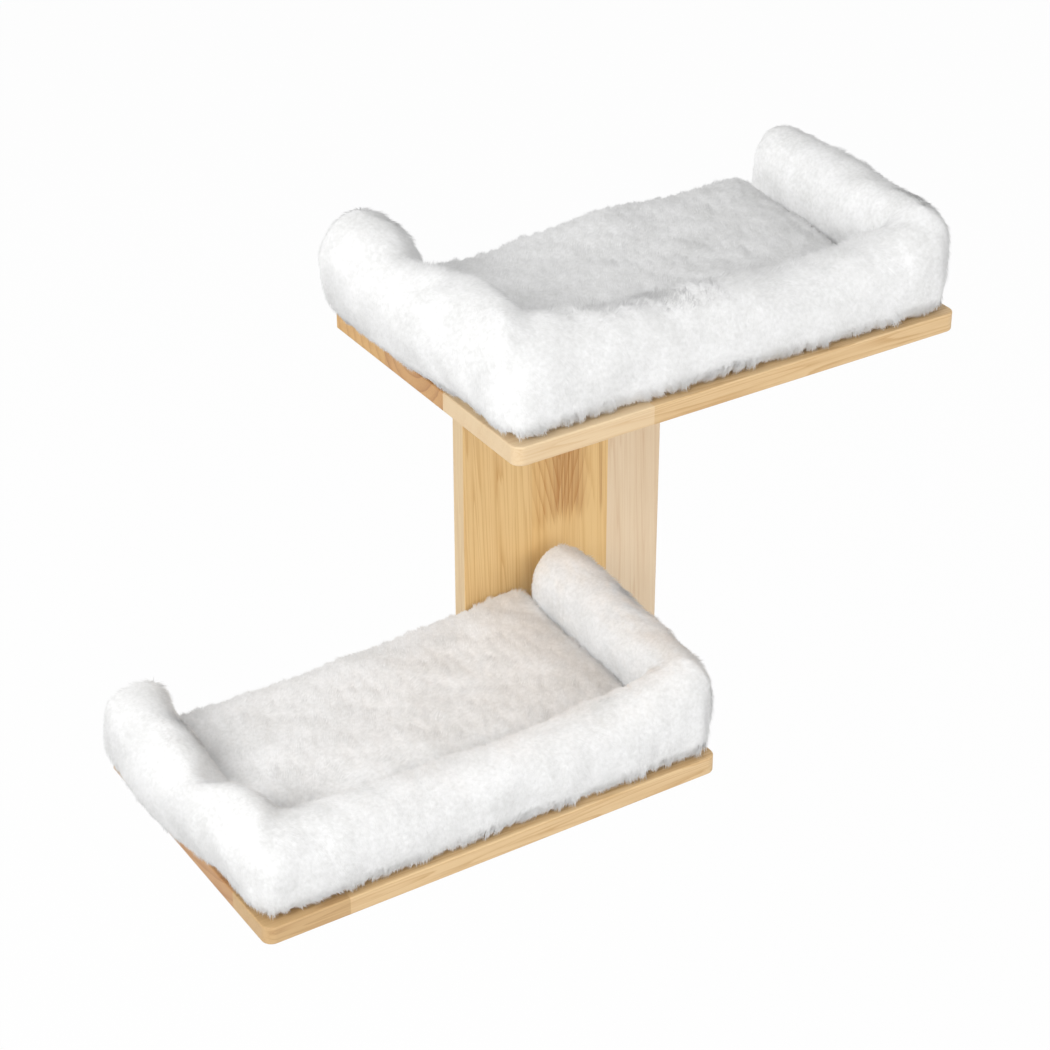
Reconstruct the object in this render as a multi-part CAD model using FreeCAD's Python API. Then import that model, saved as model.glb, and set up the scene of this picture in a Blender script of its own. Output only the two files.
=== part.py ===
import FreeCAD, Part
import math
import os

# Wall-hung cat perch: two wooden shelves on one upright back board, each shelf with a lift-off fur bed.
# Millimetres, +Z up, +X to the right as seen from the room. The wall is the plane Y = 0, the room is at -Y.
# The origin is the middle of the board's back face, where its four wall-screw holes are centred.

# Wooden panels, cut from edge-glued board
SHELF_LENGTH = 466.0
SHELF_DEPTH = 300.0
SHELF_THICKNESS = 18.0
SHELF_CORNER_RADIUS = 10.0
BOARD_WIDTH = 228.0
BOARD_THICKNESS = 18.0
PANEL_EDGE_ROUND = 1.5

# Arrangement: height between the shelves, board below the lower shelf, and its lap in front of the board
SHELF_PITCH = 375.0
BOARD_TAIL = 91.0
LOWER_SHELF_LAP = 87.0

# Wall-screw holes, sunk for the screw heads on the room side
WALL_HOLE_RADIUS = 2.75
WALL_HOLE_SINK_RADIUS = 5.5
WALL_HOLE_SIDE_MARGIN = 34.0
WALL_HOLE_END_MARGIN = 30.0

# Dowels, glued partly into a panel's face and partly into the end of the panel that meets it
DOWEL_RADIUS = 4.0
DOWEL_IN_FACE = 11.0
DOWEL_IN_END = 19.0
DOWEL_END_ROOM = 0.5
DOWEL_CHAMFER = 0.8
UPPER_DOWEL_MARGIN = 54.0
LOWER_DOWEL_MARGIN = 8.5

# Connector screws with a sunk head and a hexagon socket
CONNECTOR_LENGTH = 50.0
CONNECTOR_RADIUS = 3.0
CONNECTOR_HEAD_RADIUS = 5.0
CONNECTOR_TIP = 5.0
CONNECTOR_TIP_RADIUS = 1.0
CONNECTOR_SOCKET_RADIUS = 2.3
CONNECTOR_SOCKET_DEPTH = 1.8
UPPER_CONNECTOR_MARGIN = 19.0

# Steel corner brackets and their pan-head wood screws
BRACKET_LEG = 45.0
BRACKET_WIDTH = 20.0
BRACKET_THICKNESS = 2.5
BRACKET_BEND_RADIUS = 2.5
BRACKET_CORNER_RADIUS = 5.0
BRACKET_SCREW_FIRST = 18.0
BRACKET_SCREW_END_MARGIN = 10.0
UPPER_BRACKET_MARGIN = 69.0
LOWER_BRACKET_MARGIN = 25.5
WOOD_SCREW_LENGTH = 15.0
WOOD_SCREW_RADIUS = 1.9
WOOD_SCREW_TIP = 4.0
WOOD_SCREW_TIP_RADIUS = 0.5
WOOD_SCREW_HEAD_RADIUS = 3.8
WOOD_SCREW_HEAD_HEIGHT = 2.2
WOOD_SCREW_SLOT_LENGTH = 4.4
WOOD_SCREW_SLOT_WIDTH = 0.9
WOOD_SCREW_SLOT_DEPTH = 1.1
BRACKET_HOLE_CLEARANCE = 0.3
FASTENER_CLEARANCE = 0.05

# Hook-and-loop tape between each shelf and its bed
TAPE_LENGTH = 300.0
TAPE_WIDTH = 25.0
TAPE_THICKNESS = 1.2
TAPE_MARGIN = 70.0

# Base cloth of a bed, set in from the shelf's edges
CLOTH_THICKNESS = 1.6
CLOTH_CORNER_RADIUS = 14.0
BED_END_INSET = 4.0
BED_FRONT_INSET = 9.0
BED_BACK_INSET = 2.0

# Side bolsters: stuffed rolls on the bed's ends, which lean out past the shelf towards the wall
# Each is stuffed by hand, so at the wall its height, overhang and reach over the bed are its own
SIDE_FOOT_WIDTH = 18.0
SIDE_HEIGHT_BACK = {"upper_left": 102.0, "upper_right": 84.0, "lower_left": 88.0, "lower_right": 86.0}
SIDE_OVERHANG_BACK = {"upper_left": 31.0, "upper_right": 34.0, "lower_left": 22.0, "lower_right": 34.0}
SIDE_REACH_BACK = {"upper_left": 44.0, "upper_right": 30.0, "lower_left": 46.0, "lower_right": 30.0}
SIDE_HEIGHT_FRONT = 80.0
SIDE_OVERHANG_FRONT = 6.0
SIDE_REACH_FRONT = 43.0
SIDE_BELLY_BACK = 46.0
SIDE_BELLY_FRONT = 36.0
SIDE_BACK_GAP = 7.0
SIDE_END_ROUND = 24.0

# Front bolster: a stuffed wall along the front edge, lower in the middle
FRONT_FOOT_WIDTH = 48.0
FRONT_HEIGHT = 79.0
FRONT_DIP = 18.0
FRONT_BELLY = 34.0
FRONT_OVERHANG = 7.0
FRONT_WIDTH = 74.0
FRONT_END_OVERHANG = 5.0
FRONT_END_ROUND = 20.0

# Mattress: a crowned pad between the bolsters, whose ends are drawn in along them
MATTRESS_GAP = 2.0
MATTRESS_CROWN = 32.0
MATTRESS_EDGE = 26.0
MATTRESS_BELLY = 13.0
MATTRESS_BULGE = 7.0
MATTRESS_END_ROUND = 18.0

# Where a stuffed piece has its sections, as shares of a rounded end and of the stretch between the ends
ROUND_END_SHARES = (0.03, 0.12, 0.28, 0.5, 0.75)
STRETCH_SHARES = (0.0, 0.2, 0.4, 0.6, 0.8, 1.0)
QUARTER_POINT = math.sqrt(0.5)

# Below this, two places or lengths count as the same
NEAR = 0.01

X_AXIS = FreeCAD.Vector(1, 0, 0)
Y_AXIS = FreeCAD.Vector(0, 1, 0)
Z_AXIS = FreeCAD.Vector(0, 0, 1)
ORIGIN = FreeCAD.Vector()

# Places that follow from the sizes; a shelf's own origin is the middle of its lower edge at the back
BOARD_HEIGHT = SHELF_PITCH + BOARD_TAIL
BOARD_FRONT = -BOARD_THICKNESS
BOARD_MIDDLE = -BOARD_THICKNESS / 2
BOARD_SIDES = (-BOARD_WIDTH / 2, BOARD_WIDTH / 2)
LAP_SIDES = (-BOARD_WIDTH / 2, -BOARD_WIDTH / 2 + LOWER_SHELF_LAP)
WALL_HOLE_RISE = BOARD_HEIGHT / 2 - WALL_HOLE_END_MARGIN
UPPER_SHELF = FreeCAD.Vector(0, 0, BOARD_HEIGHT / 2)
LOWER_SHELF = FreeCAD.Vector(LAP_SIDES[1] - SHELF_LENGTH / 2, BOARD_FRONT, UPPER_SHELF.z - SHELF_PITCH)
LOWER_EDGE_MIDDLE = LOWER_SHELF.z + SHELF_THICKNESS / 2

# Heights above a shelf's underside
SHELF_TOP = SHELF_THICKNESS
LOOP_BOTTOM = SHELF_TOP + TAPE_THICKNESS
CLOTH_BOTTOM = LOOP_BOTTOM + TAPE_THICKNESS
BED_FLOOR = CLOTH_BOTTOM + CLOTH_THICKNESS

# Places along the depth of a bed, and a size beyond all of it for cutters
BED_FRONT = -SHELF_DEPTH + BED_FRONT_INSET
FRONT_OUTER = BED_FRONT - FRONT_OVERHANG
FRONT_INNER = FRONT_OUTER + FRONT_WIDTH
SIDE_START = -SIDE_BACK_GAP
CUTTER_SIZE = 2 * (SHELF_LENGTH + SHELF_DEPTH)


def placed(shape, places):
    """Copies of a shape made at the origin along +Z, each moved to a point with its +Z along a direction."""
    copies = []
    for point, direction in places:
        copy = shape.copy()
        copy.Placement = FreeCAD.Placement(point, FreeCAD.Rotation(Z_AXIS, direction))
        copies.append(copy)
    return copies


def set_in(sides, margin):
    """Two places, each a margin in from one of two sides."""
    return (sides[0] + margin, sides[1] - margin)


def wall_hole():
    """Cutter for a hole along -Z through the board, with its mouth at the origin sunk at 90 degrees."""
    shaft = Part.makeCylinder(WALL_HOLE_RADIUS, BOARD_THICKNESS, ORIGIN, -Z_AXIS)
    depth = WALL_HOLE_SINK_RADIUS - WALL_HOLE_RADIUS
    mouth = Part.makeCone(WALL_HOLE_SINK_RADIUS, WALL_HOLE_RADIUS, depth, ORIGIN, -Z_AXIS)
    return shaft.fuse(mouth)


def dowel():
    """Wooden dowel along Z, in a panel's face above the origin and in a panel's end below it."""
    length = DOWEL_IN_END + DOWEL_IN_FACE
    body = Part.makeCylinder(DOWEL_RADIUS, length, FreeCAD.Vector(0, 0, -DOWEL_IN_END))
    rims = [edge for edge in body.Edges if isinstance(edge.Curve, Part.Circle)]
    return body.makeChamfer(DOWEL_CHAMFER, rims)


def dowel_hole():
    """Cutter for both blind holes of one dowel."""
    length = DOWEL_IN_END + DOWEL_IN_FACE + 2 * DOWEL_END_ROOM
    start = FreeCAD.Vector(0, 0, -DOWEL_IN_END - DOWEL_END_ROOM)
    return Part.makeCylinder(DOWEL_RADIUS + FASTENER_CLEARANCE, length, start)


def connector_body(clearance=0.0):
    """Connector screw along -Z with its flat head at the origin, or with a clearance the hole for it."""
    radius = CONNECTOR_RADIUS + clearance
    head_radius = CONNECTOR_HEAD_RADIUS + clearance
    head_depth = CONNECTOR_HEAD_RADIUS - CONNECTOR_RADIUS
    straight = CONNECTOR_LENGTH - CONNECTOR_TIP
    head = Part.makeCone(head_radius, radius, head_depth, ORIGIN, -Z_AXIS)
    shank = Part.makeCylinder(radius, straight, ORIGIN, -Z_AXIS)
    tip_start = FreeCAD.Vector(0, 0, -straight)
    tip_radius = CONNECTOR_TIP_RADIUS + clearance
    tip = Part.makeCone(radius, tip_radius, CONNECTOR_TIP + clearance, tip_start, -Z_AXIS)
    return head.fuse([shank, tip]).removeSplitter()


def connector_screw():
    """Connector screw with its hexagon socket."""
    corners = []
    for step in range(7):
        angle = math.radians(60 * step)
        corners.append(FreeCAD.Vector(math.cos(angle), math.sin(angle), 0) * CONNECTOR_SOCKET_RADIUS)
    socket = Part.Face(Part.makePolygon(corners)).extrude(-Z_AXIS * CONNECTOR_SOCKET_DEPTH)
    return connector_body().cut(socket)


def wood_screw_shank(clearance=0.0):
    """Shank of a wood screw along -Z, or with a clearance its pilot hole."""
    radius = WOOD_SCREW_RADIUS + clearance
    straight = WOOD_SCREW_LENGTH - WOOD_SCREW_TIP
    shank = Part.makeCylinder(radius, straight, ORIGIN, -Z_AXIS)
    tip_start = FreeCAD.Vector(0, 0, -straight)
    tip_radius = WOOD_SCREW_TIP_RADIUS + clearance
    tip = Part.makeCone(radius, tip_radius, WOOD_SCREW_TIP + clearance, tip_start, -Z_AXIS)
    return shank.fuse(tip).removeSplitter()


def wood_screw():
    """Pan-head wood screw along -Z with a cross slot, the underside of its head at the origin."""
    rim = FreeCAD.Vector(WOOD_SCREW_HEAD_RADIUS, 0, 0)
    top = FreeCAD.Vector(0, 0, WOOD_SCREW_HEAD_HEIGHT)
    shoulder = (rim + top) * QUARTER_POINT
    outline = Part.Wire([
        Part.makeLine(ORIGIN, rim),
        Part.Arc(rim, shoulder, top).toShape(),
        Part.makeLine(top, ORIGIN),
    ])
    head = Part.Face(outline).revolve(ORIGIN, Z_AXIS, 360)
    screw = head.fuse(wood_screw_shank()).removeSplitter()
    floor = WOOD_SCREW_HEAD_HEIGHT - WOOD_SCREW_SLOT_DEPTH
    corner = FreeCAD.Vector(-WOOD_SCREW_SLOT_LENGTH / 2, -WOOD_SCREW_SLOT_WIDTH / 2, floor)
    slot = Part.makeBox(WOOD_SCREW_SLOT_LENGTH, WOOD_SCREW_SLOT_WIDTH, WOOD_SCREW_HEAD_HEIGHT, corner)
    return screw.cut([slot, slot.rotated(ORIGIN, Z_AXIS, 90)])


def bracket():
    """Bent steel bracket in the corner at the origin: one leg under a shelf, one down the board's face."""
    bend_end = BRACKET_BEND_RADIUS + BRACKET_THICKNESS

    def at(out, down):
        return FreeCAD.Vector(-BRACKET_WIDTH / 2, -out, -down)

    def bend(radius):
        near = bend_end - radius
        middle = bend_end - radius * QUARTER_POINT
        return Part.Arc(at(bend_end, near), at(middle, middle), at(near, bend_end)).toShape()

    outline = Part.Wire([
        Part.makeLine(at(BRACKET_LEG, 0), at(bend_end, 0)),
        bend(bend_end),
        Part.makeLine(at(0, bend_end), at(0, BRACKET_LEG)),
        Part.makeLine(at(0, BRACKET_LEG), at(BRACKET_THICKNESS, BRACKET_LEG)),
        Part.makeLine(at(BRACKET_THICKNESS, BRACKET_LEG), at(BRACKET_THICKNESS, bend_end)),
        bend(BRACKET_BEND_RADIUS),
        Part.makeLine(at(bend_end, BRACKET_THICKNESS), at(BRACKET_LEG, BRACKET_THICKNESS)),
        Part.makeLine(at(BRACKET_LEG, BRACKET_THICKNESS), at(BRACKET_LEG, 0)),
    ])
    steel = Part.Face(outline).extrude(X_AXIS * BRACKET_WIDTH)
    leg_ends = []
    for edge in steel.Edges:
        box = edge.BoundBox
        at_end = min(box.YMin, box.ZMin) < -BRACKET_LEG + NEAR
        if at_end and box.XLength < NEAR and edge.Length < BRACKET_THICKNESS + NEAR:
            leg_ends.append(edge)
    steel = steel.makeFillet(BRACKET_CORNER_RADIUS, leg_ends)
    hole = Part.makeCylinder(WOOD_SCREW_RADIUS + BRACKET_HOLE_CLEARANCE, BRACKET_THICKNESS, ORIGIN, -Z_AXIS)
    return steel.cut(placed(hole, bracket_screw_places(ORIGIN)))


def bracket_screw_places(corner):
    """Where the screw heads of a bracket in a given corner seat, and which way the heads face."""
    places = []
    for reach in (BRACKET_SCREW_FIRST, BRACKET_LEG - BRACKET_SCREW_END_MARGIN):
        under_shelf = corner + FreeCAD.Vector(0, -reach, -BRACKET_THICKNESS)
        on_board = corner + FreeCAD.Vector(0, -BRACKET_THICKNESS, -reach)
        places += [(under_shelf, -Z_AXIS), (on_board, -Y_AXIS)]
    return places


def rounded_face(half_length, back, front, radius, z):
    """Level face, square towards the wall and rounded at its two front corners."""
    inset = radius * (1 - QUARTER_POINT)

    def at(x, y):
        return FreeCAD.Vector(x, y, z)

    def corner_arc(side):
        outer = side * half_length
        start = at(outer, front + radius)
        middle = at(outer - side * inset, front + inset)
        end = at(outer - side * radius, front)
        return Part.Arc(start, middle, end).toShape()

    return Part.Face(Part.Wire([
        Part.makeLine(at(-half_length, back), at(half_length, back)),
        Part.makeLine(at(half_length, back), at(half_length, front + radius)),
        corner_arc(1),
        Part.makeLine(at(half_length - radius, front), at(-half_length + radius, front)),
        corner_arc(-1),
        Part.makeLine(at(-half_length, front + radius), at(-half_length, back)),
    ]))


def shelf_panel():
    """Shelf at its own origin, with round front corners and all but its wall-side arrises eased."""
    face = rounded_face(SHELF_LENGTH / 2, 0, -SHELF_DEPTH, SHELF_CORNER_RADIUS, 0)
    panel = face.extrude(Z_AXIS * SHELF_THICKNESS)
    arrises = []
    for edge in panel.Edges:
        at_wall = edge.BoundBox.YMin > -NEAR
        if edge.BoundBox.ZLength < NEAR and not at_wall:
            arrises.append(edge)
    return panel.makeFillet(PANEL_EDGE_ROUND, arrises)


def board_panel():
    """Upright back board with its two front arrises eased."""
    corner = FreeCAD.Vector(-BOARD_WIDTH / 2, BOARD_FRONT, -BOARD_HEIGHT / 2)
    panel = Part.makeBox(BOARD_WIDTH, BOARD_THICKNESS, BOARD_HEIGHT, corner)
    arrises = []
    for edge in panel.Edges:
        upright = edge.BoundBox.ZLength > BOARD_HEIGHT - NEAR
        if upright and edge.BoundBox.YMax < BOARD_FRONT + NEAR:
            arrises.append(edge)
    return panel.makeFillet(PANEL_EDGE_ROUND, arrises)


def tape_strips(z):
    """Two strips of tape on a shelf's own frame, one nearer the wall and one nearer the front."""
    strips = []
    for y in set_in((-SHELF_DEPTH, 0), TAPE_MARGIN):
        corner = FreeCAD.Vector(-TAPE_LENGTH / 2, y - TAPE_WIDTH / 2, z)
        strips.append(Part.makeBox(TAPE_LENGTH, TAPE_WIDTH, TAPE_THICKNESS, corner))
    return Part.makeCompound(strips)


def base_cloth():
    """Flat cloth that the stuffed pieces of a bed are sewn to."""
    half_length = SHELF_LENGTH / 2 - BED_END_INSET
    face = rounded_face(half_length, -BED_BACK_INSET, BED_FRONT, CLOTH_CORNER_RADIUS, CLOTH_BOTTOM)
    return face.extrude(Z_AXIS * CLOTH_THICKNESS)


def stuffed_section(foot, outer, width, belly, crest, shrink, to_space):
    """Outline of a stuffed roll on a flat foot, one line and four arcs, in a plane of (across, up).

    foot is the foot's inner and outer edge. The roll is widest at the height belly, from outer inwards, and
    ends at the height crest. shrink draws the outline together about its middle, to round off an end.
    """
    inner = outer - width
    middle = (outer + inner) / 2

    def drawn(across, up):
        return to_space(middle + (across - middle) * shrink, belly + (up - belly) * shrink)

    def arc(side, end_across, end_up):
        halfway_across = end_across + (side - end_across) * QUARTER_POINT
        halfway_up = belly + (end_up - belly) * QUARTER_POINT
        halfway = drawn(halfway_across, halfway_up)
        return Part.Arc(drawn(side, belly), halfway, drawn(end_across, end_up)).toShape()

    return Part.Wire(Part.sortEdges([
        Part.makeLine(drawn(foot[0], 0), drawn(foot[1], 0)),
        arc(outer, foot[1], 0),
        arc(outer, middle, crest),
        arc(inner, middle, crest),
        arc(inner, foot[0], 0),
    ])[0])


def round_end(start, length):
    """Places and shrink factors of the sections that round off an end which starts at a place."""
    return [(start + length * share, math.sqrt(1 - (1 - share) ** 2)) for share in ROUND_END_SHARES]


def stretch(start, end):
    """Places of the full sections between two ends."""
    return [(start + (end - start) * share, 1.0) for share in STRETCH_SHARES]


def eased(start, end, share):
    """Value that goes from start to end, slowly at first."""
    return start + (end - start) * share ** 2


def below_bed():
    """Cutter for all that lies below the floor of a bed."""
    corner = FreeCAD.Vector(-CUTTER_SIZE / 2, -CUTTER_SIZE / 2, BED_FLOOR - CUTTER_SIZE)
    return Part.makeBox(CUTTER_SIZE, CUTTER_SIZE, CUTTER_SIZE, corner)


def front_wedge():
    """Space in front of the two mitres of a bed, which cross where the crests of its bolsters meet."""
    crest_x = SHELF_LENGTH / 2 + (SIDE_OVERHANG_FRONT - SIDE_REACH_FRONT) / 2
    crest_y = (FRONT_OUTER + FRONT_INNER) / 2
    apex = FreeCAD.Vector(0, crest_y + crest_x, 0)
    right = apex + FreeCAD.Vector(CUTTER_SIZE, -CUTTER_SIZE, 0)
    left = apex + FreeCAD.Vector(-CUTTER_SIZE, -CUTTER_SIZE, 0)
    return Part.Face(Part.makePolygon([apex, right, left, apex])).extrude(Z_AXIS * CUTTER_SIZE)


def along_side(at_wall, at_front, y):
    """Size of a side bolster at a place along it, from its sizes at the wall and at the front."""
    return eased(at_wall, at_front, (y - SIDE_START) / (FRONT_OUTER - SIDE_START))


def side_bolster(side, which):
    """Stuffed roll at the right (1) or left (-1) end of a bed, from the wall to its mitred front corner."""
    foot = (-BED_END_INSET - SIDE_FOOT_WIDTH, -BED_END_INSET)
    stations = round_end(SIDE_START, -SIDE_END_ROUND)
    stations += stretch(SIDE_START - SIDE_END_ROUND, FRONT_OUTER + FRONT_END_ROUND)
    stations += reversed(round_end(FRONT_OUTER, FRONT_END_ROUND))
    sections = []
    for y, shrink in stations:
        outer = along_side(SIDE_OVERHANG_BACK[which], SIDE_OVERHANG_FRONT, y)
        width = outer + along_side(SIDE_REACH_BACK[which], SIDE_REACH_FRONT, y)
        belly = along_side(SIDE_BELLY_BACK, SIDE_BELLY_FRONT, y)
        crest = along_side(SIDE_HEIGHT_BACK[which], SIDE_HEIGHT_FRONT, y)

        def to_space(across, up, y=y):
            return FreeCAD.Vector(side * (SHELF_LENGTH / 2 + across), y, BED_FLOOR + up)

        sections.append(stuffed_section(foot, outer, width, belly, crest, shrink, to_space))
    return Part.makeLoft(sections, True, True).cut([below_bed(), front_wedge()])


def front_bolster():
    """Stuffed wall along the front of a bed, with round ends and mitres at the side bolsters."""
    end = SHELF_LENGTH / 2 + FRONT_END_OVERHANG
    foot = (-FRONT_FOOT_WIDTH, 0)
    full = end - FRONT_END_ROUND
    stations = round_end(-end, FRONT_END_ROUND) + stretch(-full, full)
    stations += reversed(round_end(end, -FRONT_END_ROUND))
    sections = []
    for x, shrink in stations:

        def to_space(across, up, x=x):
            return FreeCAD.Vector(x, BED_FRONT - across, BED_FLOOR + up)

        crest = eased(FRONT_HEIGHT - FRONT_DIP, FRONT_HEIGHT, abs(x) / end)
        section = stuffed_section(foot, FRONT_OVERHANG, FRONT_WIDTH, FRONT_BELLY, crest, shrink, to_space)
        sections.append(section)
    return Part.makeLoft(sections, True, True).cut(below_bed()).common(front_wedge())


def mattress(level):
    """Crowned pad between a bed's bolsters, with bulging ends and its back and front rounded off."""
    back = -BED_BACK_INSET
    front = FRONT_INNER + MATTRESS_GAP
    stations = round_end(back, -MATTRESS_END_ROUND)
    stations += stretch(back - MATTRESS_END_ROUND, front + MATTRESS_END_ROUND)
    stations += reversed(round_end(front, MATTRESS_END_ROUND))
    sections = []
    for y, shrink in stations:
        drawn_in = MATTRESS_GAP + MATTRESS_END_ROUND * (1 - shrink)
        left_reach = along_side(SIDE_REACH_BACK[level + "_left"], SIDE_REACH_FRONT, y)
        right_reach = along_side(SIDE_REACH_BACK[level + "_right"], SIDE_REACH_FRONT, y)
        left = -SHELF_LENGTH / 2 + left_reach + drawn_in
        right = SHELF_LENGTH / 2 - right_reach - drawn_in
        bulge = MATTRESS_BULGE * shrink

        def at(x, up, y=y, shrink=shrink):
            return FreeCAD.Vector(x, y, BED_FLOOR + MATTRESS_BELLY + (up - MATTRESS_BELLY) * shrink)

        def end_arc(tip, lip):
            return Part.Arc(at(lip, 0), at(tip, MATTRESS_BELLY), at(lip, MATTRESS_EDGE)).toShape()

        left_lip = left + bulge
        right_lip = right - bulge
        top = at((left + right) / 2, MATTRESS_CROWN)
        sections.append(Part.Wire(Part.sortEdges([
            Part.makeLine(at(left_lip, 0), at(right_lip, 0)),
            end_arc(right, right_lip),
            Part.Arc(at(right_lip, MATTRESS_EDGE), top, at(left_lip, MATTRESS_EDGE)).toShape(),
            end_arc(left, left_lip),
        ])[0]))
    return Part.makeLoft(sections, True, True)


# Joints between the shelves and the board: places of dowels, connector screws and brackets
upper_dowels = [
    (FreeCAD.Vector(x, BOARD_MIDDLE, UPPER_SHELF.z), Z_AXIS)
    for x in set_in(BOARD_SIDES, UPPER_DOWEL_MARGIN)
]
lower_dowels = [
    (FreeCAD.Vector(x, BOARD_FRONT, LOWER_EDGE_MIDDLE), Y_AXIS)
    for x in set_in(LAP_SIDES, LOWER_DOWEL_MARGIN)
]
upper_connectors = [
    (FreeCAD.Vector(x, BOARD_MIDDLE, UPPER_SHELF.z + SHELF_THICKNESS), Z_AXIS)
    for x in (*set_in(BOARD_SIDES, UPPER_CONNECTOR_MARGIN), 0)
]
lower_connector = [(FreeCAD.Vector(sum(LAP_SIDES) / 2, 0, LOWER_EDGE_MIDDLE), Y_AXIS)]
upper_corners = [
    FreeCAD.Vector(x, BOARD_FRONT, UPPER_SHELF.z)
    for x in set_in(BOARD_SIDES, UPPER_BRACKET_MARGIN)
]
lower_corners = [
    FreeCAD.Vector(x, BOARD_FRONT, LOWER_SHELF.z)
    for x in set_in(LAP_SIDES, LOWER_BRACKET_MARGIN)
]
upper_screws = [place for corner in upper_corners for place in bracket_screw_places(corner)]
lower_screws = [place for corner in lower_corners for place in bracket_screw_places(corner)]
wall_holes = [
    (FreeCAD.Vector(x, BOARD_FRONT, z), -Y_AXIS)
    for x in set_in(BOARD_SIDES, WALL_HOLE_SIDE_MARGIN)
    for z in (-WALL_HOLE_RISE, WALL_HOLE_RISE)
]

# Holes in the panels, from the same places
upper_joint_cutters = placed(dowel_hole(), upper_dowels)
upper_joint_cutters += placed(connector_body(FASTENER_CLEARANCE), upper_connectors)
upper_joint_cutters += placed(wood_screw_shank(FASTENER_CLEARANCE), upper_screws)
lower_joint_cutters = placed(dowel_hole(), lower_dowels)
lower_joint_cutters += placed(connector_body(FASTENER_CLEARANCE), lower_connector)
lower_joint_cutters += placed(wood_screw_shank(FASTENER_CLEARANCE), lower_screws)

board_cutters = placed(wall_hole(), wall_holes) + upper_joint_cutters + lower_joint_cutters

nodes = {}
nodes["back_board"] = board_panel().cut(board_cutters)
nodes["upper_shelf"] = shelf_panel().translated(UPPER_SHELF).cut(upper_joint_cutters)
nodes["lower_shelf"] = shelf_panel().translated(LOWER_SHELF).cut(lower_joint_cutters)
nodes["upper_dowels"] = Part.makeCompound(placed(dowel(), upper_dowels))
nodes["lower_dowels"] = Part.makeCompound(placed(dowel(), lower_dowels))
nodes["upper_connector_screws"] = Part.makeCompound(placed(connector_screw(), upper_connectors))
nodes["lower_connector_screw"] = placed(connector_screw(), lower_connector)[0]
nodes["upper_bracket_left"] = bracket().translated(upper_corners[0])
nodes["upper_bracket_right"] = bracket().translated(upper_corners[1])
nodes["lower_bracket_left"] = bracket().translated(lower_corners[0])
nodes["lower_bracket_right"] = bracket().translated(lower_corners[1])
nodes["upper_bracket_screws"] = Part.makeCompound(placed(wood_screw(), upper_screws))
nodes["lower_bracket_screws"] = Part.makeCompound(placed(wood_screw(), lower_screws))

# Tapes and the stuffed pieces of each bed
for level, shelf_place in (("upper", UPPER_SHELF), ("lower", LOWER_SHELF)):
    nodes[level + "_hook_strips"] = tape_strips(SHELF_TOP).translated(shelf_place)
    nodes[level + "_loop_strips"] = tape_strips(LOOP_BOTTOM).translated(shelf_place)
    nodes[level + "_base_cloth"] = base_cloth().translated(shelf_place)
    nodes[level + "_mattress"] = mattress(level).translated(shelf_place)
    nodes[level + "_bolster_front"] = front_bolster().translated(shelf_place)
    for end, side in (("left", -1), ("right", 1)):
        roll = side_bolster(side, level + "_" + end)
        nodes[level + "_bolster_" + end] = roll.translated(shelf_place)

os.makedirs("parts", exist_ok=True)
for name, shape in nodes.items():
    shape.exportStep("parts/" + name + ".step")
    state = "valid" if shape.isValid() else "INVALID"
    print(name, len(shape.Solids), "solids", round(shape.Volume / 1000, 2), "cm3", state)
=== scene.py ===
import math

import bpy
import numpy as np
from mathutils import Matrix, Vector


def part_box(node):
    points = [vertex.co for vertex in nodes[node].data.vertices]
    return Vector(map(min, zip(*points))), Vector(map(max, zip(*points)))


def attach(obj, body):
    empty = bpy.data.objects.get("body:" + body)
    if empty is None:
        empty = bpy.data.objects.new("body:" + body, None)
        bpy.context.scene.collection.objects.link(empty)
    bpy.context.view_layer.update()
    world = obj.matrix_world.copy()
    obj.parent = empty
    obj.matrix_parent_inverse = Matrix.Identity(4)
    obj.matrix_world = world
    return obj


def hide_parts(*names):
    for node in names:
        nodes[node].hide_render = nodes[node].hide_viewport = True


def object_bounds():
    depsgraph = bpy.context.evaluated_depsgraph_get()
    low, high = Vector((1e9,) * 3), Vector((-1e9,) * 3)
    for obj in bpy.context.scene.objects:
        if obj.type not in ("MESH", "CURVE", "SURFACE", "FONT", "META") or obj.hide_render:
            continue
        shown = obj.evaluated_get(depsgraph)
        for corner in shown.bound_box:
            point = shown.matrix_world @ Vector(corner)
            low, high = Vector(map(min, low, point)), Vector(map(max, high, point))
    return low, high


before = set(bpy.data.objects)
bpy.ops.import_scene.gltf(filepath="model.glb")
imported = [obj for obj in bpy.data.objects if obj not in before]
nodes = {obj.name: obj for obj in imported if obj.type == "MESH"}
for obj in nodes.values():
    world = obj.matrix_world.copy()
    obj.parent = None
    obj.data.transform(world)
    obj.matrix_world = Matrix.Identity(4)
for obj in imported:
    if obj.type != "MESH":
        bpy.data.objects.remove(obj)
cad_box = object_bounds()


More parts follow.
